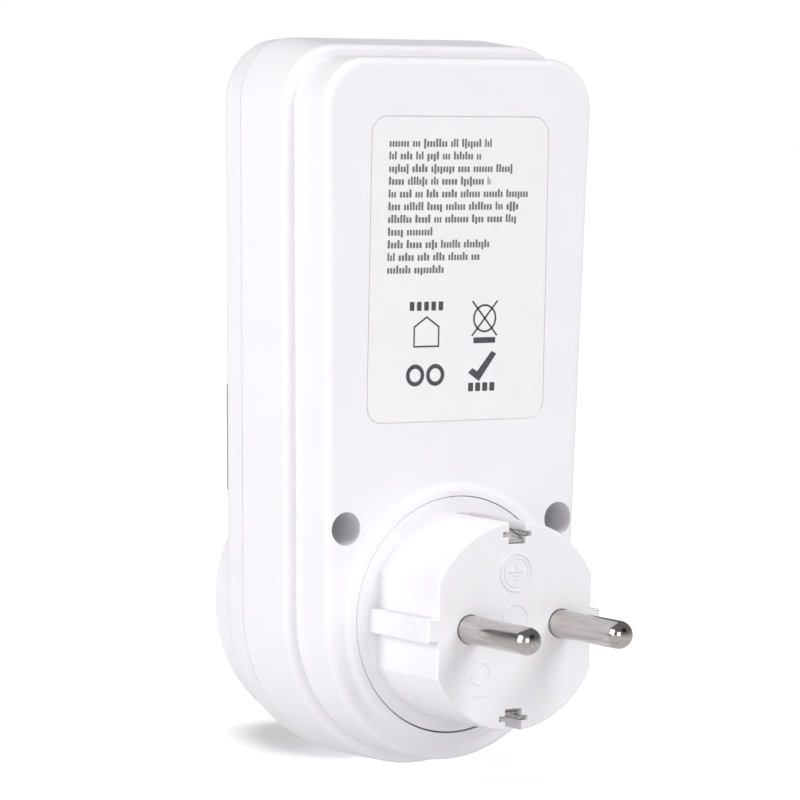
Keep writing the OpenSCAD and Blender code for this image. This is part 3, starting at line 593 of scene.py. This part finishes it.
def display():
    a = slab(rr(WINW, WINH, 2.5, 0, WINZ, 12), FRONT_Y - 0.1, FRONT_Y + 1.2)
    finish(a, "display_glass", MAT["window_plastic"], nodes=["display_window"], bevel=0.18, seg=3)
    f = cut(slab(rr(WINW - 0.5, WINH - 0.5, 2.3, 0, WINZ, 12), FRONT_Y + 1.205, FRONT_Y + 1.25), slab(rr(WINW - 5.0, WINH - 5.4, 1.2, 0, WINZ, 10), -50, -47))
    f.data.transform(Matrix.Translation((0, -0.06, 0)))
    f2 = None
    finish(f, "display_border", MAT["window_print"], bevel=0)
    a = box(-20.8, 20.8, -47.4, -44.6, WINZ - 20.6, WINZ + 20.6)
    finish(a, "lcd_cell", MAT["lcd_glass"], nodes=["lcd_panel"], bevel=0.15)
    y0, y1 = -47.44, -47.38
    made = []
    for i, ch in enumerate("0000"):
        seven(ch, -16.6 + i * 7.6, 75.5, 4.7, 9.0, 1.15, y0, y1, made)
    for i, ch in enumerate("000"):
        seven(ch, -16.6 + i * 5.6, 62.5, 3.4, 6.6, 0.85, y0, y1, made)
    for i, ch in enumerate("00"):
        seven(ch, 5.2 + i * 5.6, 62.5, 3.4, 6.6, 0.85, y0, y1, made)
    for i, ch in enumerate("0000"):
        seven(ch, -16.6 + i * 5.6, 51.0, 3.4, 6.2, 0.85, y0, y1, made)
    for x, z in ((-2.2, 75.5), (-0.9, 62.5), (3.2, 51.0)):
        made.append(slab(rr(0.9, 0.9, 0.2, x, z), y0, y1))
    for z in (64.3, 66.9):
        made.append(slab(rr(0.8, 0.8, 0.2, 3.0, z), y0, y1))
    for z in (72.9, 60.1):
        made.append(box(-17.6, 17.6, y0, y1, z - 0.09, z + 0.09))
    for i in range(4):
        made.append(box(-17.4 + i * 2.6, -15.5 + i * 2.6, y0, y1, 86.3, 87.1))
    for i in range(3):
        made.append(box(10.4 + i * 2.6, 12.3 + i * 2.6, y0, y1, 86.3, 87.1))
    f = joined(made, "w")
    finish(f, "lcd_segments", MAT["lcd_ink"], bevel=0, clean=False)


# ---------------------------------------------------------------------- socket
def recess_cutter(r, flat, rib, y0, y1):
    side = box(-flat, flat, y0 - 1, y1 + 1, -25, 25)
    wide = box(-r + 0.4, r - 0.4, y0 - 1, y1 + 1, -rib, rib)
    return common(cyl(r, y0, y1, n=160), add(side, wide))


def socket_well():
    a = cut(cyl(21.8, RING_Y, FLOOR_B, n=192), recess_cutter(REC_R, 16.5, 2.55, RING_Y - 1, FLOOR_Y))
    a = add(a, cut(cyl(23.3, IN_FRONT + 0.05, -46.45, n=160), cyl(21.0, -50, -46, n=160)))
    for i in (-1, 1):
        for j in (-1, 1):
            a = add(a, cyl(2.2, FLOOR_B - 0.5, -35.2, i * 14, j * 13, 48))
    a = add(a, cyl(0.6, FLOOR_B - 0.5, -35.6, 8.85, -14.3, 24))
    for s in (-1, 1):
        a = cut(a, cyl(HOLE_R, FLOOR_Y - 1, FLOOR_B + 1, s * PIN_X, 0, 96))
        # countersunk mouth of each pin hole
        a = cut(a, turned([(0, FLOOR_Y - 0.5), (HOLE_R + 0.95, FLOOR_Y - 0.5), (HOLE_R + 0.45, FLOOR_Y), (HOLE_R - 0.2, FLOOR_Y + 0.65), (0, FLOOR_Y + 0.65)], s * PIN_X, 0, 96))
        a = cut(a, box(-3.2, 3.2, -54, FLOOR_B + 1, *((18.4, 23.5) if s > 0 else (-23.5, -18.4))))
    a = cut(a, cyl(1.5, -39, FLOOR_B + 1, n=48))
    for i in (-1, 1):
        for j in (-1, 1):
            a = cut(a, cyl(1.15, -39, -35, i * 14, j * 13, 32))
    a = cut(a, turned([(REC_R - 0.1, RING_Y + 0.7), (REC_R - 0.1, RING_Y - 0.1), (REC_R + 0.8, RING_Y - 0.1)], n=160))
    return finish(a, "socket_cup", MAT["insert_plastic"], nodes=["socket_well"], bevel=0.16, seg=3, tri=lambda c: c.y < -40 or c.y > -38.5)


# ------------------------------------------------------------------------ plug
def plug_insert():
    a = common(cyl(18.0, -21, 0, n=192), add(box(-16, 16, -22, 1, -30, 30), box(-30, 30, -22, 1, -2.1, 2.1)))
    a = round_edges(a, 0.45, lambda c: c.y > -0.001, 5)
    disc = [(0, -21.05), (20.54, -21.05), (20.54, FLANGE_Y - 0.15), (20.39, FLANGE_Y), (18.9, FLANGE_Y), (0, FLANGE_Y)]
    a = add(a, turned(disc, 0.02, 0.08, n=192), cyl(22.2, -22.5, -21.05, n=160))
    hollow = common(cyl(15.2, -23, -3, n=128), box(-12.9, 12.9, -24, -2, -12.2, 12.2))
    a = cut(a, hollow)
    for s in (-1, 1):
        boss = cut(cyl(4.2, -9.05, -2.9, s * PIN_X, 0, 64), box(*((12.9, 20) if s > 0 else (-20, -12.9)), -10, -3, -6, 6))
        a = add(a, boss)
    for s in (-1, 1):
        a = cut(a, cyl(2.2, -10, -0.3, s * PIN_X, 0, 96))
        a = cut(a, cyl(2.52, -0.35, 1, s * PIN_X, 0, 96))
        z0, z1 = (14.15, 19) if s > 0 else (-19, -14.15)
        a = cut(a, box(-1.75, 1.75, -16.6, 1, z0, z1))
        z0, z1 = (15.35, 16.25) if s > 0 else (-16.25, -15.35)
        a = cut(a, box(-2.95, 2.95, -23, 1, z0, z1))
    finish(a, "plug_body", MAT["insert_plastic"], nodes=["plug_insert"], bevel=0.1, weld=1e-6, tri=lambda c: c.y < -0.5)
    # low relief: a ring with an earth sign, and a plain ring
    made = [cut(cyl(3.4, -0.05, 0.16, 0, 9.3, 96), cyl(3.02, -1, 1, 0, 9.3, 96)), cut(cyl(2.6, -0.05, 0.1, 0, 9.3, 96), cyl(2.34, -1, 1, 0, 9.3, 96))]
    made += [box(-0.16, 0.16, -0.05, 0.15, 9.5, 10.9)]
    for w, z in ((1.45, 9.45), (0.95, 8.8), (0.45, 8.15)):
        made.append(box(-w, w, -0.05, 0.15, z - 0.15, z + 0.15))
    made += [cut(cyl(2.75, -0.05, 0.12, 0.0, 1.2, 96), cyl(2.4, -1, 1, 0.0, 1.2, 96))]
    made += [cut(cyl(2.1, -0.05, 0.1, 7.2, -7.6, 96), cyl(1.8, -1, 1, 7.2, -7.6, 96)), box(5.9, 8.5, -0.05, 0.1, -11.7, -11.3)]
    finish(joined(made, "w"), "plug_relief", MAT["insert_plastic"], bevel=0.035, clean=False)


def pins():
    for s, n in ((1, "pin_live"), (-1, "pin_neutral")):
        prof = [(0, -11.7), (2.2, -11.7), (2.3, -11.6), (2.3, -10.9), (1.6, -10.9), (1.6, -10.2), (3.4, -10.2), (3.4, -9.1), (2.2, -9.1), (2.2, -0.35),
                (2.4, -0.35), (2.4, PIN_L - PIN_R - 4), (2.4, PIN_L - PIN_R)]
        prof += [(PIN_R * math.cos(PI / 2 * i / 14), PIN_L - PIN_R + PIN_R * math.sin(PI / 2 * i / 14)) for i in range(1, 15)]
        prof[-1] = (0, PIN_L)
        a = turned(prof, s * PIN_X, 0, 96)
        finish(a, "contact_" + n, MAT["nickel"], nodes=[n], bevel=0)


def plug_clip():
    parts = [cut(box(-2.85, 2.85, -23.2, -22.6, -16.15, 16.15), cyl(1.2, -24, -22, n=48))]
    a = parts[0]
    for s in (1, -1):
        arm = cut(box(-2.85, 2.85, -22.7, -0.9, 15.45, 16.15), box(-1.65, 1.65, -15, 0, 15, 17))
        mid = smooth_path([(-15.4, 15.8), (-14.2, 15.85), (-11.6, 16.9), (-7.2, 16.9), (-4.2, 15.75), (-0.55, 14.55)], 1.2)
        arm = add(arm, strip(ribbon(mid, 0.6), -1.5, 1.5))
        if s < 0:
            arm = mirror_z(arm)
        a = add(a, arm)
    finish(a, "plug_earth_strip", MAT["spring_steel"], nodes=["plug_earth_clip"], bevel=0.07, tri=lambda c: True)


def socket_clip():
    a = cut(box(-2.8, 2.8, -23.8, -23.2, -20.55, 20.55), cyl(1.2, -25, -22, n=48))
    for s in (1, -1):
        path = smooth_path([(-23.5, 20.22), (-46.0, 20.22), (-49.2, 17.5), (-52.15, 19.98), (-53.3, 19.98)], 1.0)
        arm = strip(ribbon(path, 0.6), -2.8, 2.8)
        if s < 0:
            arm = mirror_z(arm)
        a = add(a, arm)
    finish(a, "socket_earth_strip", MAT["spring_steel"], nodes=["socket_earth_clip"], bevel=0.08, tri=lambda c: True)


# ----------------------------------------------------------------------- label
def label():
    a = slab(rr(LABW, LABH, 3.0, 0, LABZ, 12), REAR_Y - 0.25, REAR_Y - 0.05)
    finish(a, "rating_film", MAT["label_film"], nodes=["rating_label"], bevel=0.04)
    rnd = random.Random(11)
    y0, y1 = REAR_Y - 0.06, REAR_Y - 0.035
    made = []
    # word-like bars, no lettering
    lengths = [21.5, 19.3, 26, 21.4, 29.4, 27.4, 27.0, 9.4, 21.4, 19.4, 11.9]
    for i, full in enumerate(lengths):
        z = 80.9 + 0.55 - i * 2.17
        x = 14.9
        end = 14.9 - full
        while x > end + 0.5:
            w = min(rnd.choice([1.7, 2.6, 3.3, 4.2, 5.0]), x - end)
            if x - w - end < 1.4:
                w = x - end
            n = max(2, int(round(w / 0.62)))
            step = w / n
            for k in range(n):
                xa, xb = x - k * step, x - (k + 1) * step + 0.2
                tall = 0.42 if rnd.random() < 0.28 else 0.0
                low = 0.3 if rnd.random() < 0.08 else 0.0
                made.append(slab(rr(xa - xb, 1.0 + tall + low, 0.12, (xa + xb) / 2, z + (tall - low) / 2, 2), y0, y1))
            x -= w + 0.62
    finish(joined(made, "w"), "label_lines", MAT["label_ink_light"], bevel=0, clean=False)
    made = []
    # plain marks in a two by two block
    for i in range(5):
        made.append(slab(rr(0.95, 1.55, 0.15, 9.6 - i * 1.5, 53.6, 2), y0, y1))
    roof = [(9.2, 46.5), (9.2, 50.1), (6.5, 51.9), (3.8, 50.1), (3.8, 46.5)]
    inner = [(8.9, 46.8), (8.9, 49.93), (6.5, 51.54), (4.1, 49.93), (4.1, 46.8)]
    made.append(cut(slab(roof, y0, y1), slab(inner, -20, -18)))
    made.append(cut(cyl(2.45, y0, y1, -5.7, 51.3, 64), cyl(2.1, -20, -18, -5.7, 51.3, 64)))
    for d in (1, -1):
        made.append(slab([(-8.5, 51.3 - 2.95 * d), (-8.2, 51.3 - 3.1 * d), (-2.9, 51.3 + 2.95 * d), (-3.2, 51.3 + 3.1 * d)], y0, y1))
    made.append(box(-8.0, -3.4, y0, y1, 47.0, 48.0))
    for cx in (8.7, 4.5):
        made.append(cut(cyl(1.9, y0, y1, cx, 41.7, 48), cyl(1.15, -20, -18, cx, 41.7, 48)))
    made.append(slab([(-2.4, 41.9), (-3.3, 42.7), (-4.3, 42.1), (-7.3, 45.6), (-8.3, 45.1), (-4.7, 40.4)], y0, y1))
    for i in range(4):
        made.append(slab(rr(1.05, 1.5, 0.15, -3.0 - i * 1.5, 39.4, 2), y0, y1))
    finish(joined(made, "w"), "label_marks", MAT["label_ink"], bevel=0, clean=False)


rear_housing()
front_cover()
keypad_panel()
keys()
display()
socket_well()
plug_insert()
pins()
plug_clip()
socket_clip()
label()

# ------------------------------------------- CAD nodes that stay: finish by slot
slot_of = {s["node"]: s["material_slot"] for s in frame["record"]["subparts"]}
for n, o in frame["nodes"].items():
    o.data.materials.clear()
    o.data.materials.append(MAT[slot_of[n]])
    for p in o.data.polygons:
        p.use_smooth = True
    o.data.set_sharp_from_angle(angle=math.radians(28))

# ----------------------------------------------------------------------- stage
FLOOR_Z = -0.0279


def stage_material(name, color, rough, emit):
    m = bpy.data.materials.new(name)
    m.use_nodes = True
    b = m.node_tree.nodes["Principled BSDF"]
    b.inputs["Base Color"].default_value = (*color, 1)
    b.inputs["Roughness"].default_value = rough
    b.inputs["Specular IOR Level"].default_value = 0.2
    b.inputs["Emission Color"].default_value = (1, 1, 1, 1)
    b.inputs["Emission Strength"].default_value = emit
    return m


me = bpy.data.meshes.new("floor")
S = 3.0
me.from_pydata([(-S, -S, FLOOR_Z), (S, -S, FLOOR_Z), (S, S, FLOOR_Z), (-S, S, FLOOR_Z)], [], [(0, 1, 2, 3)])
floor = bpy.data.objects.new("floor", me)
COL.objects.link(floor)
me.materials.append(stage_material("floor_pale", (0.86, 0.86, 0.865), 0.6, 0.28))
floor.visible_diffuse = floor.visible_glossy = floor.visible_shadow = False

SKY, GROUND = 0.18, 0.69
KEY, LEFT, HIGH, BACK, FLOORKEY = 1.88, 7.38, 0.7, 3.42, 2.5

world = bpy.data.worlds.new("studio")
scene.world = world
world.use_nodes = True
wn = world.node_tree
wn.nodes.clear()
wout = wn.nodes.new("ShaderNodeOutputWorld")
seen = wn.nodes.new("ShaderNodeBackground")
lit = wn.nodes.new("ShaderNodeBackground")
seen.inputs["Color"].default_value = (1, 1, 1, 1)
seen.inputs["Strength"].default_value = 1.0
lit.inputs["Color"].default_value = (0.99, 0.985, 1, 1)
wco = wn.nodes.new("ShaderNodeTexCoord")
wsep = wn.nodes.new("ShaderNodeSeparateXYZ")
wmap = wn.nodes.new("ShaderNodeMapRange")
wmap.inputs["From Min"].default_value, wmap.inputs["From Max"].default_value = -0.25, 0.25
wmap.inputs["To Min"].default_value, wmap.inputs["To Max"].default_value = GROUND, SKY
wn.links.new(wco.outputs["Generated"], wsep.inputs[0])
wn.links.new(wsep.outputs["Z"], wmap.inputs["Value"])
wn.links.new(wmap.outputs[0], lit.inputs["Strength"])
path = wn.nodes.new("ShaderNodeLightPath")
mixs = wn.nodes.new("ShaderNodeMixShader")
wn.links.new(path.outputs["Is Camera Ray"], mixs.inputs[0])
wn.links.new(lit.outputs[0], mixs.inputs[1])
wn.links.new(seen.outputs[0], mixs.inputs[2])
wn.links.new(mixs.outputs[0], wout.inputs[0])


def aimed(name, light, loc, aim):
    o = bpy.data.objects.new(name, light)
    o.location = loc
    o.rotation_mode = "QUATERNION"
    o.rotation_quaternion = (Vector(aim) - Vector(loc)).to_track_quat("-Z", "Y")
    COL.objects.link(o)
    return o


def area(name, loc, aim, size, energy, size_y):
    l = bpy.data.lights.new(name, "AREA")
    l.energy, l.size = energy, size
    l.shape, l.size_y = "RECTANGLE", size_y
    return aimed(name, l, loc, aim)


def sun(name, toward, strength, angle):
    l = bpy.data.lights.new(name, "SUN")
    l.energy, l.angle = strength, math.radians(angle)
    return aimed(name, l, toward, (0, 0, 0))


key = sun("key", (-0.42, 0.62, 0.85), KEY, 38)
left = area("left", (0.95, -0.12, 0.30), (0, -0.03, 0.03), 0.7, LEFT, 0.8)
back_l = area("back", (0.3, 1.0, 0.05), (0, -0.03, 0.03), 0.8, BACK, 0.5)
high = area("high", (0.55, 0.75, 0.9), (0, -0.03, 0.03), 0.6, HIGH, 0.6)
above = sun("above", (0.0, 0.0, 1.0), 0.22, 30)
floor_key = sun("floor_key", (0.0, 0.02, 1.0), FLOORKEY * 0.72, 50)
floor_soft = sun("floor_soft", (0.0, 0.1, 1.0), FLOORKEY * 0.28, 45)
only = bpy.data.collections.new("floor_only")
only.objects.link(floor)
floor_key.light_linking.receiver_collection = floor_soft.light_linking.receiver_collection = only
me = bpy.data.meshes.new("shade_card")
me.from_pydata([(0.000 - 0.0115 * math.cos(2 * PI * i / 48) - 0.0080 * math.sin(2 * PI * i / 48),
                 -0.062 + 0.0045 * math.cos(2 * PI * i / 48) - 0.0220 * math.sin(2 * PI * i / 48), FLOOR_Z + 0.010) for i in range(48)], [], [tuple(range(48))])
shade_card = bpy.data.objects.new("shade_card", me)
COL.objects.link(shade_card)
me.materials.append(stage_material("shade_card", (0.5, 0.5, 0.5), 0.8, 0.0))
shade_card.visible_camera = shade_card.visible_diffuse = shade_card.visible_glossy = shade_card.visible_transmission = False
block = bpy.data.collections.new("card_only")
block.objects.link(shade_card)
floor_key.light_linking.blocker_collection = block
apart = bpy.data.collections.new("all_but_floor")
apart.objects.link(floor)
for c in apart.collection_objects:
    c.light_linking.link_state = "EXCLUDE"
free = bpy.data.collections.new("all_but_card")
free.objects.link(shade_card)
for c in free.collection_objects:
    c.light_linking.link_state = "EXCLUDE"
floor_soft.light_linking.blocker_collection = free
for l in (key, left, back_l, high, above):
    l.light_linking.receiver_collection = apart
    l.light_linking.blocker_collection = free

for l in (key, high, back_l, above):
    l.visible_glossy = False


def panel(name, loc, aim, w, h, color, emit):
    """Studio panel that shows only in reflections."""
    me = bpy.data.meshes.new(name)
    me.from_pydata([(-w / 2, -h / 2, 0), (w / 2, -h / 2, 0), (w / 2, h / 2, 0), (-w / 2, h / 2, 0)], [], [(0, 1, 2, 3)])
    o = bpy.data.objects.new(name, me)
    o.location = loc
    o.rotation_mode = "QUATERNION"
    o.rotation_quaternion = (Vector(aim) - Vector(loc)).to_track_quat("Z", "Y")
    COL.objects.link(o)
    me.materials.append(stage_material(name, color, 0.8, emit))
    o.visible_camera = o.visible_diffuse = o.visible_shadow = o.visible_transmission = False
    return o


panel("dark_panel", (-0.25, 0.75, 0.62), (0, 0, 0), 0.7, 0.5, (0.01, 0.01, 0.01), 0.0)
panel("pale_panel", (0.55, 0.85, 0.22), (0, 0, 0), 0.42, 0.5, (0.9, 0.9, 0.9), 3.2)

# ---------------------------------------------------------------------- camera
cam_data = bpy.data.cameras.new("camera")
cam = bpy.data.objects.new("camera", cam_data)
COL.objects.link(cam)
cam_data.sensor_width = 36.0
cam_data.lens = 211.92
cam_data.clip_start, cam_data.clip_end = 0.05, 20
yaw, pitch, roll, dist = 0.59706, 0.07856, 0.01961, 0.82004
back = Vector((math.sin(yaw) * math.cos(pitch), math.cos(yaw) * math.cos(pitch), math.sin(pitch)))
right = (-back).cross(Vector((0, 0, 1))).normalized()
up = right.cross(-back)
r2 = right * math.cos(roll) + up * math.sin(roll)
u2 = up * math.cos(roll) - right * math.sin(roll)
target = Vector((0, -0.025, 0.030)) + right * -0.0063523 + up * 0.0066298
rot = Matrix((r2, u2, back)).transposed().to_4x4()
cam.matrix_world = Matrix.Translation(target + back * dist) @ rot
scene.camera = cam

scene.view_settings.view_transform = "Standard"
scene.view_settings.look = "None"
